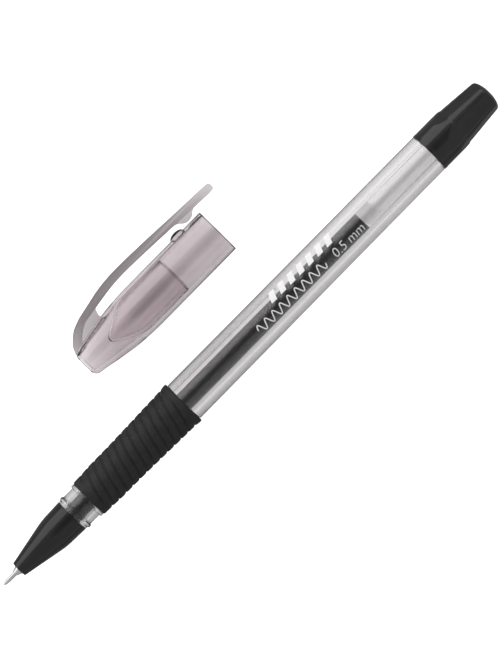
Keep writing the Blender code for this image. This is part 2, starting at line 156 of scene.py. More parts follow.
def colour_mix(tree, factor, first):
    """A colour mix with its factor and first colour linked."""
    node = tree.nodes.new("ShaderNodeMix")
    node.data_type = "RGBA"
    tree.links.new(factor, node.inputs["Factor"])
    tree.links.new(first, node.inputs["A"])
    return node


def bump(tree, bsdf, value, distance):
    node = tree.nodes.new("ShaderNodeBump")
    node.inputs["Strength"].default_value = 1.0
    node.inputs["Distance"].default_value = distance
    tree.links.new(value, node.inputs["Height"])
    tree.links.new(node.outputs["Normal"], bsdf.inputs["Normal"])


def absorb(tree, colour, density):
    """Makes the inside of the piece soak up light, so that thick plastic looks darker than thin."""
    node = tree.nodes.new("ShaderNodeVolumeAbsorption")
    node.inputs["Color"].default_value = (*colour, 1)
    node.inputs["Density"].default_value = density
    output = tree.nodes["Material Output"]
    tree.links.new(node.outputs["Volume"], output.inputs["Volume"])


def make_clear_plastic():
    """The tube's plastic. Its collar, in front of the grip, is painted greyer than the rest: painted shade
    standing in for the grey reflections in that clear ring.
    """
    material, tree, bsdf = new_material("clear_plastic", Transmission_Weight=1.0, IOR=1.49)
    scuffs = noise(tree, 900, (0.25, 1, 1), 5)
    tree.links.new(spread(tree, scuffs, 0.01, 0.035), bsdf.inputs["Roughness"])
    place = tree.nodes.new("ShaderNodeTexCoord")
    axes = tree.nodes.new("ShaderNodeSeparateXYZ")
    tree.links.new(place.outputs["Object"], axes.inputs[0])
    behind_collar = spread(tree, axes.outputs["X"], 0.0, 1.0, spot(COLLAR_END).x, spot(COLLAR_END + 0.4).x)
    # painted shade: the collar's grey tint stands in for the grey reflections in the clear collar ring
    collar_painted_shade = tint(tree, noise(tree, 300), (0.76, 0.757, 0.76), (0.82, 0.817, 0.82))
    clear = tint(tree, noise(tree, 60), (0.972, 0.964, 0.967), (0.994, 0.987, 0.989))
    paint = colour_mix(tree, behind_collar, collar_painted_shade)
    tree.links.new(clear, paint.inputs["B"])
    tree.links.new(paint.outputs["Result"], bsdf.inputs["Base Color"])
    bump(tree, bsdf, noise(tree, 200, (0.15, 1, 1), 1), 1.2e-6)
    absorb(tree, (0.80, 0.79, 0.80), 260)
    return material


def make_smoke_plastic(name, density, colour=(0.80, 0.753, 0.768), rough=0.01, streaks=4e-6):
    """The cap's grey plastic. The density sets how dark it is, and streaks how uneven it is lengthwise."""
    material, tree, bsdf = new_material(name, Transmission_Weight=1.0, IOR=1.50)
    tree.links.new(spread(tree, noise(tree, 900, (0.3, 1, 1), 5), rough, rough + 0.03),
                   bsdf.inputs["Roughness"])
    tree.links.new(tint(tree, noise(tree, 160), (0.955, 0.925, 0.935), (0.998, 0.970, 0.979)),
                   bsdf.inputs["Base Color"])
    bump(tree, bsdf, noise(tree, 330, (0.16, 1, 1), 2), streaks)
    absorb(tree, colour, density)
    return material


def make_black_gloss(name, shade, low=0.07, high=0.17):
    material, tree, bsdf = new_material(name, IOR=1.5, Specular_IOR_Level=0.40)
    tree.links.new(tint(tree, noise(tree, 300), [c * shade for c in (0.8, 0.8, 0.84)],
                        [c * shade for c in (1.2, 1.2, 1.26)]), bsdf.inputs["Base Color"])
    tree.links.new(spread(tree, noise(tree, 1600, (0.3, 1, 1), 5), low, high), bsdf.inputs["Roughness"])
    bump(tree, bsdf, noise(tree, 420, (0.5, 1, 1), 3), 7e-6)
    return material


def make_rubber():
    material, tree, bsdf = new_material("black_rubber", IOR=1.48, Specular_IOR_Level=0.25)
    tree.links.new(tint(tree, noise(tree, 700, detail=5), (0.0175, 0.0175, 0.018), (0.0255, 0.0255, 0.026)),
                   bsdf.inputs["Base Color"])
    tree.links.new(spread(tree, noise(tree, 2500, detail=4), 0.5, 0.7), bsdf.inputs["Roughness"])
    bump(tree, bsdf, noise(tree, 9000, detail=3), 9e-6)
    return material


def make_refill_plastic():
    material, tree, bsdf = new_material("refill_plastic", Transmission_Weight=1.0, IOR=1.49)
    tree.links.new(spread(tree, noise(tree, 600, (0.08, 1, 1), 2), 0.05, 0.11), bsdf.inputs["Roughness"])
    tree.links.new(tint(tree, noise(tree, 120, (0.2, 1, 1), 2), (0.982, 0.982, 0.978), (0.998, 0.998, 0.994)),
                   bsdf.inputs["Base Color"])
    bump(tree, bsdf, noise(tree, 300, (0.1, 1, 1), 1), 2e-6)
    return material


def make_adapter_plastic():
    material, tree, bsdf = new_material("adapter_plastic", IOR=1.49, Subsurface_Weight=0.3,
                                        Subsurface_Scale=0.001)
    tree.links.new(tint(tree, noise(tree, 500), (0.66, 0.66, 0.64), (0.78, 0.78, 0.76)),
                   bsdf.inputs["Base Color"])
    tree.links.new(spread(tree, noise(tree, 1500), 0.3, 0.45), bsdf.inputs["Roughness"])
    return material


def make_ink():
    material, tree, bsdf = new_material("black_ink", IOR=1.42)
    tree.links.new(tint(tree, noise(tree, 500, (0.15, 1, 1), 4), (0.003, 0.003, 0.004),
                        (0.010, 0.010, 0.012)), bsdf.inputs["Base Color"])
    tree.links.new(spread(tree, noise(tree, 800, (0.1, 1, 1), 4), 0.08, 0.2), bsdf.inputs["Roughness"])
    return material


def make_follower():
    material, tree, bsdf = new_material("follower_gel", Transmission_Weight=1.0, IOR=1.45)
    tree.links.new(tint(tree, noise(tree, 600, detail=4), (0.925, 0.92, 0.915), (0.955, 0.95, 0.945)),
                   bsdf.inputs["Base Color"])
    tree.links.new(spread(tree, noise(tree, 900), 0.02, 0.08), bsdf.inputs["Roughness"])
    return material


def make_steel(name, colour, low, high):
    material, tree, bsdf = new_material(name, Metallic=1.0)
    turning = noise(tree, 9000, (1, 0.02, 0.02), 3)
    tree.links.new(tint(tree, noise(tree, 1500, detail=4), [c * 0.86 for c in colour], colour),
                   bsdf.inputs["Base Color"])
    tree.links.new(spread(tree, turning, low, high), bsdf.inputs["Roughness"])
    bump(tree, bsdf, turning, 3e-6)
    return material


def make_print():
    material, tree, bsdf = new_material("white_print", IOR=1.45)
    tree.links.new(tint(tree, noise(tree, 5000, detail=5), (0.84, 0.84, 0.85), (0.97, 0.97, 0.97)),
                   bsdf.inputs["Base Color"])
    tree.links.new(spread(tree, noise(tree, 3000), 0.35, 0.6), bsdf.inputs["Roughness"])
    return material


def make_floor():
    """White where the camera sees it bare, paler grey through the pen, and darker in reflections."""
    material, tree, bsdf = new_material("pale_floor", Roughness=0.9)
    path = tree.nodes.new("ShaderNodeLightPath")
    bare = tint(tree, noise(tree, 6, detail=4), (0.86, 0.86, 0.86), (0.89, 0.89, 0.89))
    paint = colour_mix(tree, path.outputs["Is Reflection Ray"], bare)
    paint.inputs["B"].default_value = (FLOOR_REFLECTED, FLOOR_REFLECTED, FLOOR_REFLECTED, 1)
    for socket in ("Base Color", "Emission Color"):
        tree.links.new(paint.outputs["Result"], bsdf.inputs[socket])
    tree.links.new(spread(tree, path.outputs["Is Camera Ray"], FLOOR_GLOW, FLOOR_GLOW + FLOOR_EXPOSURE, 0, 1),
                   bsdf.inputs["Emission Strength"])
    return material


# ---- mesh helpers -----------------------------------------------------------------------------
def shape(name, verts, faces):
    """A mesh object in the scene, welded and with its faces turned outwards."""
    mesh = bpy.data.meshes.new(name)
    mesh.from_pydata(verts, [], faces)
    thing = bpy.data.objects.new(name, mesh)
    bpy.context.scene.collection.objects.link(thing)
    tidy(thing)
    return thing


def tidy(thing):
    """Welds doubled points and turns every face outwards."""
    bm = bmesh.new()
    bm.from_mesh(thing.data)
    bmesh.ops.remove_doubles(bm, verts=bm.verts[:], dist=1e-7)
    bmesh.ops.dissolve_degenerate(bm, edges=bm.edges[:], dist=1e-8)
    bmesh.ops.recalc_face_normals(bm, faces=bm.faces[:])
    bm.to_mesh(thing.data)
    bm.free()


def rounded(outline, closed=True, share=0.45, parts=4):
    """An outline of (along, out, corner) rows with each corner turned into a small arc."""
    points = []
    for i, (along, out, corner) in enumerate(outline):
        if not corner or (not closed and i in (0, len(outline) - 1)):
            points.append((along, out))
            continue
        ends = []
        for other in (outline[i - 1], outline[(i + 1) % len(outline)]):
            away = (other[0] - along, other[1] - out)
            length = math.hypot(*away)
            cut = min(corner, length * share) / length
            ends.append((along + away[0] * cut, out + away[1] * cut))
        for k in range(parts + 1):
            t = k / parts
            a, b, c = (1 - t) ** 2, 2 * t * (1 - t), t * t
            points.append((a * ends[0][0] + b * along + c * ends[1][0],
                           a * ends[0][1] + b * out + c * ends[1][1]))
    return points


def turned(name, outline, axis=PEN, steps=96, closed=True):
    """A solid of revolution about an axis along X. An open outline starts and ends on the axis."""
    points = rounded(outline, closed)
    verts, faces = [], []
    for along, out in points:
        for k in range(steps):
            turn = 2 * math.pi * k / steps
            verts.append(spot(along, out * math.sin(turn), out * math.cos(turn), axis))
    rows = len(points)
    for i in range(rows if closed else rows - 1):
        j = (i + 1) % rows
        for k in range(steps):
            m = (k + 1) % steps
            faces.append((i * steps + k, i * steps + m, j * steps + m, j * steps + k))
    return shape(name, verts, faces)


def curve_through(points, parts=4):
    """Points on a smooth curve through the given ones."""
    out = []
    for i in range(len(points) - 1):
        p0, p1, p2 = points[max(0, i - 1)], points[i], points[i + 1]
        p3 = points[min(len(points) - 1, i + 2)]
        for k in range(parts):
            t = k / parts
            out.append(tuple(
                0.5 * (2 * b + (c - a) * t + (2 * a - 5 * b + 4 * c - d) * t * t
                       + (3 * b - a - 3 * c + d) * t ** 3)
                for a, b, c, d in zip(p0, p1, p2, p3)))
    out.append(points[-1])
    return out


def slab(name, outline, width, axis, edge=0.0, parts=3):
    """A bar with the outline in the XY plane, as wide as width along Z, with its rims rounded off."""
    count = len(outline)
    verts = [spot(a, o, side * width / 2, axis) for side in (-1, 1) for a, o in outline]
    faces = [tuple(range(count)), tuple(range(2 * count - 1, count - 1, -1))]
    faces += [(k, (k + 1) % count, count + (k + 1) % count, count + k) for k in range(count)]
    thing = shape(name, verts, faces)
    if edge:
        bm = bmesh.new()
        bm.from_mesh(thing.data)
        rims = [e for e in bm.edges if abs(e.verts[0].co.z - e.verts[1].co.z) < 1e-8]
        bmesh.ops.bevel(bm, geom=rims, offset=edge * MM, segments=parts, profile=0.5, affect="EDGES",
                        clamp_overlap=True)
        bm.to_mesh(thing.data)
        bm.free()
    return thing


def egg(name, centre, radii, spokes=48, rings=24):
    """An ellipsoid with the given half-lengths in millimetres."""
    verts, faces = [], []
    for i in range(rings + 1):
        down = math.pi * i / rings
        for k in range(spokes):
            turn = 2 * math.pi * k / spokes
            verts.append(centre + Vector((radii[0] * math.sin(down) * math.cos(turn),
                                          radii[1] * math.sin(down) * math.sin(turn),
                                          radii[2] * math.cos(down))) * MM)
    for i in range(rings):
        for k in range(spokes):
            m = (k + 1) % spokes
            faces.append((i * spokes + k, i * spokes + m, (i + 1) * spokes + m, (i + 1) * spokes + k))
    return shape(name, verts, faces)


def carve(thing, tool, operation):
    """Joins or cuts with the tool, then removes the tool."""
    boolean = thing.modifiers.new("carve", "BOOLEAN")
    boolean.object = tool
    boolean.operation = operation
    boolean.solver = "EXACT"
    bake(thing)
    bpy.data.objects.remove(tool, do_unlink=True)


def bake(thing):
    """Replaces the mesh with what its modifiers make of it."""
    graph = bpy.context.evaluated_depsgraph_get()
    mesh = bpy.data.meshes.new_from_object(thing.evaluated_get(graph))
    thing.modifiers.clear()
    thing.data = mesh


def finish(thing, material, nodes=(), body=None, crease=35, even=False):
    """Shading, finish and place in the frame for one piece."""
    mesh = thing.data
    mesh.name = thing.name
    mesh.shade_smooth()
    mesh.set_sharp_from_angle(angle=math.radians(crease))
    if even:
        thing.modifiers.new("normals", "WEIGHTED_NORMAL").keep_sharp = True
        bake(thing)
    thing.data.materials.clear()
    thing.data.materials.append(material)
    if nodes:
        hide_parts(*nodes)
    if body:
        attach(thing, body)


# ---- writing tip and refill -------------------------------------------------------------------
def build_ball(material):
    ball = egg("ball_looks", spot(0.25), (0.25, 0.25, 0.25), 32, 16)
    finish(ball, material, ["writing_ball"], "ball", 180)


def build_needle(material):
    outline = ((0.18, 0.27, 0), (0.18, 0.31, 0.02), (0.30, 0.36, 0.05), (1.20, 0.53, 0.3), (3.0, 0.53, 0),
               (7.5, 0.53, 0), (7.5, 0.14, 0), (0.60, 0.14, 0), (0.46, 0.28, 0), (0.25, 0.28, 0))
    needle = turned("needle_looks", outline, steps=48)
    finish(needle, material, ["needle_tube"], "refill")


def build_holder(material):
    outline = ((3.25, 0.55, 0), (3.25, 0.62, 0.03), (3.45, 0.70, 0.06), (4.35, 1.05, 0.15), (6.0, 1.05, 0),
               (6.08, 1.00, 0.02), (6.3, 1.00, 0.02), (6.38, 1.05, 0), (10.4, 1.05, 0.1), (10.4, 0.30, 0),
               (7.7, 0.30, 0), (7.7, 0.55, 0))
    holder = turned("holder_looks", outline, steps=64)
    finish(holder, material, ["needle_holder"], "refill")


def build_adapter(material):
    outline = ((8.6, 1.08, 0), (8.6, 1.55, 0.1), (9.1, 1.75, 0.15), (11.0, 2.0, 0.3), (13.0, 2.1, 0),
               (13.0, 2.3, 0.1), (13.7, 2.3, 0.1), (13.7, 1.64, 0), (18.4, 1.64, 0.15), (19.0, 1.34, 0.1),
               (19.0, 0.75, 0), (10.6, 0.75, 0), (10.6, 1.08, 0))
    adapter = turned("adapter_looks", outline, steps=64)
    finish(adapter, material, ["refill_adapter"], "refill")


def build_refill(material):
    outline = ((13.85, 1.70, 0), (13.85, 2.15, 0.1), (50, 2.15, 0), (90, 2.15, 0), (129.5, 2.15, 0.12),
               (129.5, 1.70, 0.08), (90, 1.70, 0), (50, 1.70, 0))
    tube = turned("refill_looks", outline, steps=96)
    finish(tube, material, ["refill_tube"], "refill")


def build_ink(material):
    wet = 1.71
    outline = ((19.55, 0.0, 0), (19.3, wet * 0.8, 0.1), (19.6, wet, 0.1), (60, wet, 0), (106.4, wet, 0.12),
               (106.1, wet * 0.7, 0.3), (105.95, 0.0, 0))
    ink = turned("ink_looks", outline, steps=96, closed=False)
    finish(ink, material, ["ink_column"], "refill")


def build_follower(material):
    wet = 1.705
    outline = ((106.07, 0.0, 0), (106.2, wet * 0.7, 0.3), (106.52, wet, 0.1), (110.0, wet, 0.03),
               (109.93, wet * 0.6, 0.3), (109.9, 0.0, 0))
    follower = turned("follower_looks", outline, steps=96, closed=False)
    finish(follower, material, ["ink_follower"], "refill")


# ---- nose cone --------------------------------------------------------------------------------
def build_nose(material):
    outline = ((4.46, 1.15, 0.05), (4.46, 1.78, 0.2), (14.9, 3.80, 1.3), (20.3, 3.98, 0.12),
               (20.3, 3.36, 0.05), (14.9, 3.36, 0), (14.6, 2.75, 0), (12.6, 2.62, 0), (8.2, 1.95, 0),
               (7.4, 1.15, 0))
    nose = turned("nose_looks", outline, steps=128)
    finish(nose, material, ["nose_cone"], "nose")


# ---- barrel and its print ---------------------------------------------------------------------
BODY = ((53.5, 4.83), (126.35, 4.70))      # radius of the tube's wide part, behind the grip
TUBE_END = 126.12
PRINT_LIFT, PRINT_THICK = 0.012, 0.02
BLOCKS, BLOCK_START, BLOCK_PITCH, BLOCK_WIDTH, BLOCK_LEAN = 7, 80.9, 2.72, 1.5, 0.9
BLOCK_LOW, BLOCK_HIGH, BLOCK_CUTS = 1.28, 3.66, 6
WAVE_START, WAVE_LENGTH, WAVE_PITCH, WAVE_STEPS = 74.9, 19.8, 2.2, 240
WAVE_ARC, WAVE_REACH, WAVE_WIDTH = -0.72, 0.95, 0.24
MARK_START, MARK_LENGTH, MARK_ARC, MARK_SIZE = 97.2, 8.4, -1.72, 2.95


def build_barrel(material):
    outline = ((15.3, 2.75, 0.05), (15.3, 3.28, 0.15), (20.42, 3.28, 0), (20.42, 3.98, 0.05),
               (20.75, 3.98, 0.1), (21.0, 4.27, 0.12), (21.5, 4.27, 0.12), (21.75, 3.98, 0.1),
               (24.4, 3.98, 0.05), (24.4, 4.42, 0.06), (COLLAR_END, 4.42, 0.06), (COLLAR_END, 3.85, 0),
               (53.5, 3.85, 0), (53.5, 4.83, 0.12), (80, between(BODY, 80), 0), (105, between(BODY, 105), 0),
               (TUBE_END, 4.70, 0.1), (TUBE_END, 4.08, 0), (132.9, 4.08, 0.25), (132.9, 3.0, 0.05),
               (105, 3.0, 0), (80, 3.0, 0), (53, 3.0, 0), (26.5, 3.0, 0.2), (25.8, 2.75, 0.2))
    barrel = turned("barrel_looks", outline, steps=128)
    finish(barrel, material, ["barrel_tube"], "barrel")


def wrapped(name, ladders, material):
    """A thin printed layer on the barrel. Each ladder is a row of rungs, a rung is a pair of
    (along, arc) points, and arc is measured round the barrel from its top towards +Y."""
    verts, faces = [], []
    for ladder in ladders:
        first = len(verts)
        for rung in ladder:
            for along, arc in rung:
                for level in (PRINT_LIFT, PRINT_LIFT + PRINT_THICK):
                    out = between(BODY, along)
                    turn = arc / out
                    verts.append(spot(along, (out + level) * math.sin(turn), (out + level) * math.cos(turn)))
        round_rung = (0, 1, 3, 2)
        for start in range(first, len(verts) - 4, 4):
            for a, b in zip(round_rung, round_rung[1:] + round_rung[:1]):
                faces.append((start + a, start + b, start + 4 + b, start + 4 + a))
        faces.append(tuple(first + k for k in reversed(round_rung)))
        faces.append(tuple(len(verts) - 4 + k for k in round_rung))
    finish(shape(name, verts, faces), material, body="barrel")


def strip(path, width):
    """The rungs of a strip that follows a path of (along, arc) points."""
    rungs = []
    for i, (along, arc) in enumerate(path):
        before, after = path[max(0, i - 1)], path[min(len(path) - 1, i + 1)]
        run = (after[0] - before[0], after[1] - before[1])
        share = width / 2 / math.hypot(*run)
        across = (-run[1] * share, run[0] * share)
        rungs.append(((along + across[0], arc + across[1]), (along - across[0], arc - across[1])))
    return rungs


def build_print(material):
    """A row of plain slanted blocks and a plain wave line."""
    blocks = []
    for k in range(BLOCKS):
        left = BLOCK_START + BLOCK_PITCH * k
        rungs = [(left + BLOCK_LEAN * c / BLOCK_CUTS, BLOCK_LOW + (BLOCK_HIGH - BLOCK_LOW) * c / BLOCK_CUTS)
                 for c in range(BLOCK_CUTS + 1)]
        blocks.append([((along, arc), (along + BLOCK_WIDTH, arc)) for along, arc in rungs])
    wrapped("print_blocks", blocks, material)
    runs = [WAVE_LENGTH * k / WAVE_STEPS for k in range(WAVE_STEPS + 1)]
    path = [(WAVE_START + run, WAVE_ARC + WAVE_REACH * math.sin(2 * math.pi * run / WAVE_PITCH))
            for run in runs]
    wrapped("print_wave", [strip(path, WAVE_WIDTH)], material)


def build_size_mark(material):
    """The tip size in plain letters, bent round the barrel."""
    curve = bpy.data.curves.new("size_mark", "FONT")
    curve.body = "0.5 mm"
    curve.size = MARK_SIZE
    curve.offset = -0.045
    curve.shear = 0.12
    text = bpy.data.objects.new("size_mark_curve", curve)
    bpy.context.scene.collection.objects.link(text)
    graph = bpy.context.evaluated_depsgraph_get()
    mesh = bpy.data.meshes.new_from_object(text.evaluated_get(graph))
    bpy.data.objects.remove(text, do_unlink=True)
    bm = bmesh.new()
    bm.from_mesh(mesh)
    for k in range(1, 16):
        bmesh.ops.bisect_plane(bm, geom=bm.verts[:] + bm.edges[:] + bm.faces[:], dist=1e-6,
                               plane_co=(0, k * 0.15, 0), plane_no=(0, 1, 0))
    bmesh.ops.solidify(bm, geom=bm.faces[:], thickness=PRINT_THICK)
    bm.verts.index_update()
    left = min(v.co.x for v in bm.verts)
    right = max(v.co.x for v in bm.verts)
    verts = []
    for vert in bm.verts:
        along = MARK_START + (vert.co.x - left) / (right - left) * MARK_LENGTH
        out = between(BODY, along)
        turn = (MARK_ARC + vert.co.y) / out
        out = out + PRINT_LIFT + abs(vert.co.z)
        verts.append(spot(along, out * math.sin(turn), out * math.cos(turn)))
    # Solidify makes the letters' sides in another order each run, so the faces are sorted.
    faces = sorted([vert.index for vert in face.verts] for face in bm.faces)
    bm.free()
    bpy.data.meshes.remove(mesh)
    finish(shape("print_size", verts, faces), material, body="barrel")


# ---- grip sleeve ------------------------------------------------------------------------------
GRIP_START, GRIP_END, GRIP_BORE_R, GRIP_STEPS = 25.22, 53.38, 3.92, 180
GRIP_OUTLINE = ((25.22, 4.45), (25.32, 4.56), (25.5, 4.61), (27.6, 4.66), (30.0, 4.80), (35.7, 4.82),
                (38.9, 4.89), (42.6, 4.98), (46.4, 5.09), (50.1, 5.18), (51.7, 5.22), (52.3, 5.31),
                (52.7, 5.36), (53.15, 5.36), (53.32, 5.32), (53.38, 5.22))
FIRST_GROOVE, LAST_GROOVE, GROOVE_PITCH, GROOVE_STARTS = 27.6, 51.6, 2.0, 4
GROOVE_LEAD = GROOVE_STARTS * GROOVE_PITCH
GROOVE_SECTION = ((0.0, 0.30), (0.06, 0.285), (0.13, 0.24), (0.21, 0.155), (0.29, 0.075), (0.38, 0.025),
                  (0.50, 0.005), (0.72, 0.0), (1.0, -0.005))


def grip_radius(along, turn):
    """The sleeve's radius: its outline less the depth of the slanted groove that is nearest."""
    phase = (along + GROOVE_LEAD * turn / (2 * math.pi) - FIRST_GROOVE) % GROOVE_PITCH
    off = min(phase, GROOVE_PITCH - phase)
    fade = smooth(FIRST_GROOVE - 1.1, FIRST_GROOVE - 0.5, along)
    fade *= 1 - smooth(LAST_GROOVE + 0.1, LAST_GROOVE + 0.7, along)
    return between(GRIP_OUTLINE, along) - fade * between(GROOVE_SECTION, off)


def grip_ring(along, bore=False):
    """One ring of points of the sleeve at a place along it, outside or in the bore."""
    turns = [2 * math.pi * step / GRIP_STEPS for step in range(GRIP_STEPS)]
    rings = [(GRIP_BORE_R if bore else grip_radius(along, turn), turn) for turn in turns]
    return [spot(along, out * math.cos(turn), out * math.sin(turn)) for out, turn in rings]


def build_grip(material):
    """The outside's mesh lines follow the grooves, so each turn ends a few rows further on."""
    steps = GRIP_STEPS
    offsets = [-off for off, _ in reversed(GROOVE_SECTION[1:])] + [off for off, _ in GROOVE_SECTION[:-1]]
    rows = []
    at = FIRST_GROOVE - 2 * GROOVE_PITCH
    while at < GRIP_END + GROOVE_LEAD + 2 * GROOVE_PITCH:
        rows += [at + off for off in offsets]
        at += GROOVE_PITCH
    wrap = GROOVE_STARTS * len(offsets)
    count = len(rows)
    verts, faces = [], []
    for step in range(steps):
        turn = 2 * math.pi * step / steps
        for row in rows:
            along = min(GRIP_END, max(GRIP_START, row - GROOVE_LEAD * step / steps))
            out = grip_radius(along, turn)
            verts.append(spot(along, out * math.cos(turn), out * math.sin(turn)))
    for step in range(steps):
        back = wrap if step == steps - 1 else 0
        here, there = step * count, ((step + 1) % steps) * count
        for k in range(back, count - 1):
            faces.append((here + k, here + k + 1, there + k + 1 - back, there + k - back))
    front = len(verts)
    back = front + 2 * steps
    for along in (GRIP_START, GRIP_END):
        verts += grip_ring(along) + grip_ring(along, bore=True)
    for step in range(steps):
        after = (step + 1) % steps
        faces.append((front + step, front + after, front + steps + after, front + steps + step))
        faces.append((back + step, back + after, back + steps + after, back + steps + step))
        faces.append((front + steps + step, front + steps + after, back + steps + after, back + steps + step))
    finish(shape("grip_looks", verts, faces), material, ["grip_sleeve"], "barrel", 50)


# ---- end plug ---------------------------------------------------------------------------------
PLUG_START, PLUG_TIP, HOLLOW_TIP = 126.27, 144.2, 141.2
PLUG_INSIDE = ((140.6, 2.85), (133.5, 2.85), (133.2, 4.15), (PLUG_START, 4.15))
PLUG_OUTLINE = ((PLUG_START, 4.70, 0), (126.35, 4.79, 0.05), (126.9, 4.80, 0.1), (127.15, 4.75, 0.1),
                (130.0, 4.75, 0), (131.4, 4.75, 0), (133.3, 4.74, 0.3), (133.7, 4.70, 0.2),
                (134.05, 4.50, 0.2), (137.0, 4.27, 0), (140.0, 4.02, 0), (142.9, 3.77, 0.4),
                (143.35, 3.50, 0.3), (143.75, 2.80, 0.4), (144.05, 1.60, 0.5))
FLATS, FLAT_TURN, LAND_PARTS = 6, math.radians(-13.5), 8
FLAT_DEPTH = ((131.0, 4.75), (133.6, 4.36), (139.2, 3.80), (142.9, 3.50), (143.35, 3.35), (143.75, 2.70),
              (144.05, 1.55))


def plug_ring(along, radius, flats=True):
    """A ring of points: a flat and a round land, six times over. FLAT_DEPTH is a flat's distance from
    the axis."""
    share = 2 * math.pi / FLATS
    flat = between(FLAT_DEPTH, along) if flats else radius
    half = max(math.acos(min(1.0, flat / radius)), math.radians(3))
    edge = min(0.35 * half, 0.025)
    if not flats:
        half = share / 4
    across = [-half - edge, -half + edge, -half / 2, 0.0, half / 2, half - edge, half + edge]
    land = share - 2 * (half + edge)
    across += [half + edge + land * (k + 1) / LAND_PARTS for k in range(LAND_PARTS - 1)]
    ring = []
    for k in range(FLATS):
        for off in across:
            turn = FLAT_TURN + share * k + off
            reach = radius if abs(off) >= half else min(radius, flat / math.cos(off))
            ring.append(spot(along, reach * math.sin(turn), reach * math.cos(turn)))
    return ring


def build_plug(material):
    outer = rounded(PLUG_OUTLINE, closed=False)
    dense = []
    for (a, ra), (b, rb) in zip(outer, outer[1:]):
        parts = max(1, int((b - a) / 0.25))
        dense += [(a + (b - a) * k / parts, ra + (rb - ra) * k / parts) for k in range(parts)]
    dense.append(outer[-1])
    rings = [plug_ring(along, out, False) for along, out in PLUG_INSIDE]
    rings += [plug_ring(along, out) for along, out in dense]
    count = len(rings[0])
    verts = [vert for ring in rings for vert in ring]
    faces = []
    for i in range(len(rings) - 1):
        for k in range(count):
            m = (k + 1) % count
            faces.append((i * count + k, i * count + m, (i + 1) * count + m, (i + 1) * count + k))
    for row, tip in ((0, HOLLOW_TIP), (len(rings) - 1, PLUG_TIP)):
        point = len(verts)
        verts.append(spot(tip))
        faces += [(row * count + k, row * count + (k + 1) % count, point) for k in range(count)]
    finish(shape("plug_looks", verts, faces), material, ["end_plug"], "barrel")


# ---- cap --------------------------------------------------------------------------------------
CAP_OUTER = ((44.4, 0.0, 0), (44.4, 2.20, 0.2), (44.8, 2.90, 0.3), (45.4, 3.30, 0.3), (48.0, 3.72, 0.8),
             (51.2, 4.36, 1.2), (55.3, 5.03, 1.5), (59.5, 5.31, 1.2), (61.6, 5.37, 0.8), (83.62, 5.37, 0.05))


def build_cap(material):
    outline = (*CAP_OUTER, (83.62, 4.47, 0.05), (58.0, 4.47, 1.0), (52.6, 3.35, 1.0), (48.6, 2.85, 0.8),
               (46.4, 2.50, 0.4), (45.3, 2.2, 0.3), (44.95, 1.5, 0.2), (44.9, 0.0, 0))
    cap = turned("cap_looks", outline, CAP, 128, closed=False)
    carve(cap, egg("nub_tool", spot(77.1, 5.32, 0, CAP), (1.75, 0.85, 1.45)), "UNION")
    finish(cap, material, ["cap_shell"], "cap", 32)


def build_liner(material):
    outline = ((52.3, 0.0, 0), (52.42, 0.45, 0.15), (54.0, 1.60, 0.4), (55.95, 2.72, 0.6), (58.0, 3.42, 0.6),
               (60.0, 3.60, 0.6), (62.0, 3.60, 0.4), (70.62, 3.62, 0.04),
               (70.62, 4.39, 0.04), (60.0, 4.39, 0.8), (58.0, 4.05, 0.8), (55.7, 3.15, 0.6), (53.6, 1.8, 0.6),
               (51.95, 0.55, 0.3), (51.8, 0.0, 0))
    liner = turned("liner_looks", outline, CAP, 128, closed=False)
    finish(liner, material, ["cap_liner"], "cap", 32)


def build_rims(material):
    """The moulded rims of the cap and of the cup inside it, in a far denser smoke plastic: painted shade, so
    that they read as the crisp dark lines that refraction makes at these edges.
    """
    mouth = ((83.64, 4.47, 0.03), (83.64, 5.37, 0.03), (83.9, 5.34, 0.08), (83.9, 4.52, 0.08))
    finish(turned("mouth_rim", mouth, CAP, 128), material, body="cap")
    cup = ((70.64, 3.62, 0.03), (70.64, 4.39, 0.03), (70.9, 4.37, 0.08), (70.9, 3.66, 0.08))
    finish(turned("liner_rim", cup, CAP, 128), material, body="cap")


BAND_OUTER = ((44.45, 1.4), (44.55, 2.4), (45.3, 4.3), (46.3, 5.4), (48.0, 6.72), (50.3, 7.62),
              (52.4, 8.10), (54.6, 8.55), (57.0, 9.05), (59.6, 9.37), (62.0, 9.50), (65.3, 9.50),
              (72.0, 9.27), (77.9, 8.98), (82.9, 8.76), (88.6, 8.55), (89.45, 8.36), (89.7, 7.9))
BAND_INNER = ((89.7, 7.2), (89.45, 6.85), (88.6, 6.72), (82.9, 6.95), (77.9, 7.20), (72.0, 7.50),
              (65.3, 7.75), (62.0, 7.72), (59.6, 7.56), (57.0, 7.22), (54.6, 6.84), (52.4, 6.52),
              (50.3, 5.98), (48.0, 4.4), (46.8, 2.9), (45.6, 1.4))
WEB = ((45.2, 1.6), (46.6, 4.2), (48.0, 5.4), (50.3, 6.7), (52.4, 7.2), (54.45, 7.4), (54.45, 6.9),
       (54.1, 6.1), (53.9, 5.5), (54.0, 4.5), (51.2, 4.0), (48.0, 3.2), (45.4, 1.5))
PAD = ((78.3, 7.4, 0), (78.3, 7.12, 0.3), (79.0, 6.9, 0.3), (80.3, 5.75, 0.7), (82.1, 5.75, 0.7),
       (83.2, 6.7, 0.3), (83.9, 6.92, 0.3), (83.9, 7.2, 0))
CLIP_WIDTH, WEB_WIDTH, PAD_WIDTH, CLIP_GAP = 3.6, 1.5, 1.9, 0.02
CLIP_NARROWING = ((44.4, 0.40), (45.3, 0.52), (46.3, 0.66), (48.0, 0.84), (50.3, 0.96), (52.4, 1.0),
                  (74.0, 1.0), (80.4, 0.76), (84.5, 0.58), (88.0, 0.40), (89.7, 0.24))


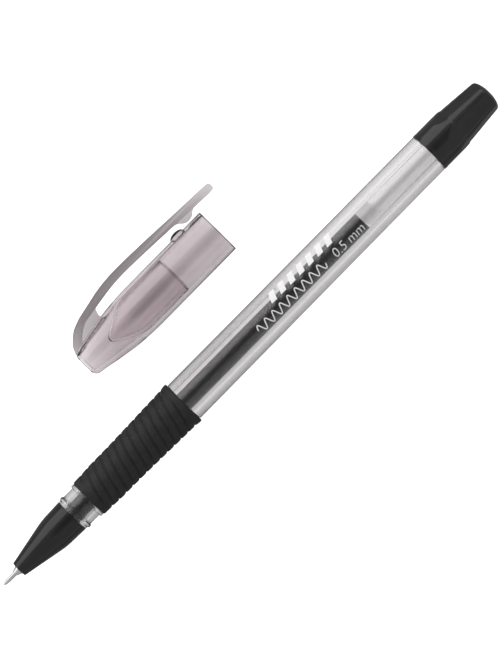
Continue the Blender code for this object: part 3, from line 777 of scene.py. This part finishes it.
def build_clip(material):
    """The clip's arm, root web and pad in one piece, cut clear of the cap."""
    band = curve_through(BAND_OUTER) + curve_through(BAND_INNER)
    clip = slab("clip_looks", band, CLIP_WIDTH, CAP, 0.22)
    carve(clip, slab("web_tool", WEB, WEB_WIDTH, CAP, 0.1, 2), "UNION")
    carve(clip, slab("pad_tool", rounded(PAD), PAD_WIDTH, CAP, 0.12, 2), "UNION")
    for vert in clip.data.vertices:
        along = (vert.co.x - TIP) / MM
        vert.co.z = CAP.z + (vert.co.z - CAP.z) * between(CLIP_NARROWING, along)
    tidy(clip)
    clear = [(along, out + CLIP_GAP, corner) for along, out, corner in CAP_OUTER[1:]]
    inside = turned("shell_tool", ((CAP_OUTER[0][0] - CLIP_GAP, 0.0, 0), *clear, (84.0, 0.0, 0)), CAP, 128,
                    closed=False)
    carve(clip, inside, "DIFFERENCE")
    tidy(clip)
    finish(clip, material, ["cap_clip"], crease=32, even=True)
    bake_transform(clip)


# ---- surroundings: lengths here are in metres -------------------------------------------------
SKY = ((0.0, 0.90), (0.05, 0.90), (0.10, 0.55), (0.90, 0.55), (0.99, 0.20))
SOFTBOX_NEAR, SOFTBOX_FAR = math.radians(34), math.radians(84)
SOFTBOX_REACH, SOFTBOX_LENGTH, SOFTBOX_RADIANCE = 0.45, 1.6, 1.35
CAMERA_HEIGHT, CAMERA_LENS, CAMERA_ROLL = 0.8, 206.5, math.radians(-45.45)
CAMERA_OFFSET = (1.19 * MM, -0.1 * MM)


def build_floor():
    half = 6.0
    floor = shape("floor", [(-half, -half, 0), (half, -half, 0), (half, half, 0), (-half, half, 0)],
                  [(0, 1, 2, 3)])
    if floor.data.polygons[0].normal.z < 0:
        floor.data.flip_normals()
    floor.location.z = -0.02 * MM
    floor.data.materials.append(make_floor())


def softbox(name, centre, aim, size, radiance):
    """A rectangular light that shines from centre towards aim."""
    data = bpy.data.lights.new(name, "AREA")
    data.shape = "RECTANGLE"
    data.size, data.size_y = size
    data.energy = radiance * math.pi * size[0] * size[1]
    lamp = bpy.data.objects.new(name, data)
    lamp.location = centre
    lamp.rotation_euler = (Vector(aim) - Vector(centre)).to_track_quat("-Z", "Y").to_euler()
    bpy.context.scene.collection.objects.link(lamp)


def build_lights():
    """An even pale sky, brighter near the horizon, and one long soft light on the +Y side."""
    world = bpy.data.worlds.new("studio")
    world.use_nodes = True
    tree = world.node_tree
    coordinates = tree.nodes.new("ShaderNodeTexCoord")
    split = tree.nodes.new("ShaderNodeSeparateXYZ")
    tree.links.new(coordinates.outputs["Generated"], split.inputs["Vector"])
    ramp = tree.nodes.new("ShaderNodeValToRGB")
    tree.links.new(split.outputs["Z"], ramp.inputs["Fac"])
    for k, (height, level) in enumerate(SKY):
        stop = ramp.color_ramp.elements[k] if k < 2 else ramp.color_ramp.elements.new(height)
        stop.position = height
        stop.color = (level, level, level, 1)
    tree.links.new(ramp.outputs["Color"], tree.nodes["Background"].inputs["Color"])
    bpy.context.scene.world = world

    high, low = [Vector((0, SOFTBOX_REACH * math.sin(tilt), SOFTBOX_REACH * math.cos(tilt)))
                 for tilt in (SOFTBOX_NEAR, SOFTBOX_FAR)]
    softbox("left_softbox", PEN + (low + high) / 2, PEN, (SOFTBOX_LENGTH, (high - low).length),
            SOFTBOX_RADIANCE)


def build_camera():
    """Straight above the pen, rolled so that the pen lies from the lower left to the upper right."""
    data = bpy.data.cameras.new("camera")
    data.lens = CAMERA_LENS
    data.clip_start = 0.01
    data.clip_end = 50
    camera = bpy.data.objects.new("camera", data)
    centre_x = (cad_box[0][0] + cad_box[1][0]) / 2
    camera.location = (centre_x + CAMERA_OFFSET[0], PEN.y + CAMERA_OFFSET[1], PEN.z + CAMERA_HEIGHT)
    camera.rotation_euler = (0, 0, CAMERA_ROLL)
    bpy.context.scene.collection.objects.link(camera)
    bpy.context.scene.camera = camera


# ---- the whole scene --------------------------------------------------------------------------
white = make_print()
build_ball(make_steel("ball_carbide", (0.42, 0.42, 0.44), 0.08, 0.2))
build_needle(make_steel("tip_steel", (0.72, 0.71, 0.70), 0.3, 0.45))
build_holder(make_steel("holder_steel", (0.70, 0.69, 0.68), 0.26, 0.42))
build_adapter(make_adapter_plastic())
build_refill(make_refill_plastic())
build_ink(make_ink())
build_follower(make_follower())
build_nose(make_black_gloss("black_cone", 0.011, 0.09, 0.2))
build_barrel(make_clear_plastic())
build_print(white)
build_size_mark(white)
build_grip(make_rubber())
build_plug(make_black_gloss("black_gloss", 0.015))
build_cap(make_smoke_plastic("smoke_plastic", 480, streaks=4.5e-5))
build_liner(make_smoke_plastic("smoke_liner", 560, (0.80, 0.768, 0.775), 0.05, 3e-5))
build_clip(make_smoke_plastic("smoke_clip", 1700, (0.80, 0.786, 0.792)))
# painted shade: the rims' plastic is made far denser than the cap's so that its edges show as dark lines
build_rims(make_smoke_plastic("smoke_rim_painted_shade", 3600))
build_floor()
build_lights()
build_camera()

scene = bpy.context.scene
scene.view_settings.view_transform = "Standard"
scene.cycles.max_bounces = 24
scene.cycles.transmission_bounces = 24
scene.cycles.transparent_max_bounces = 16
scene.cycles.use_denoising = True
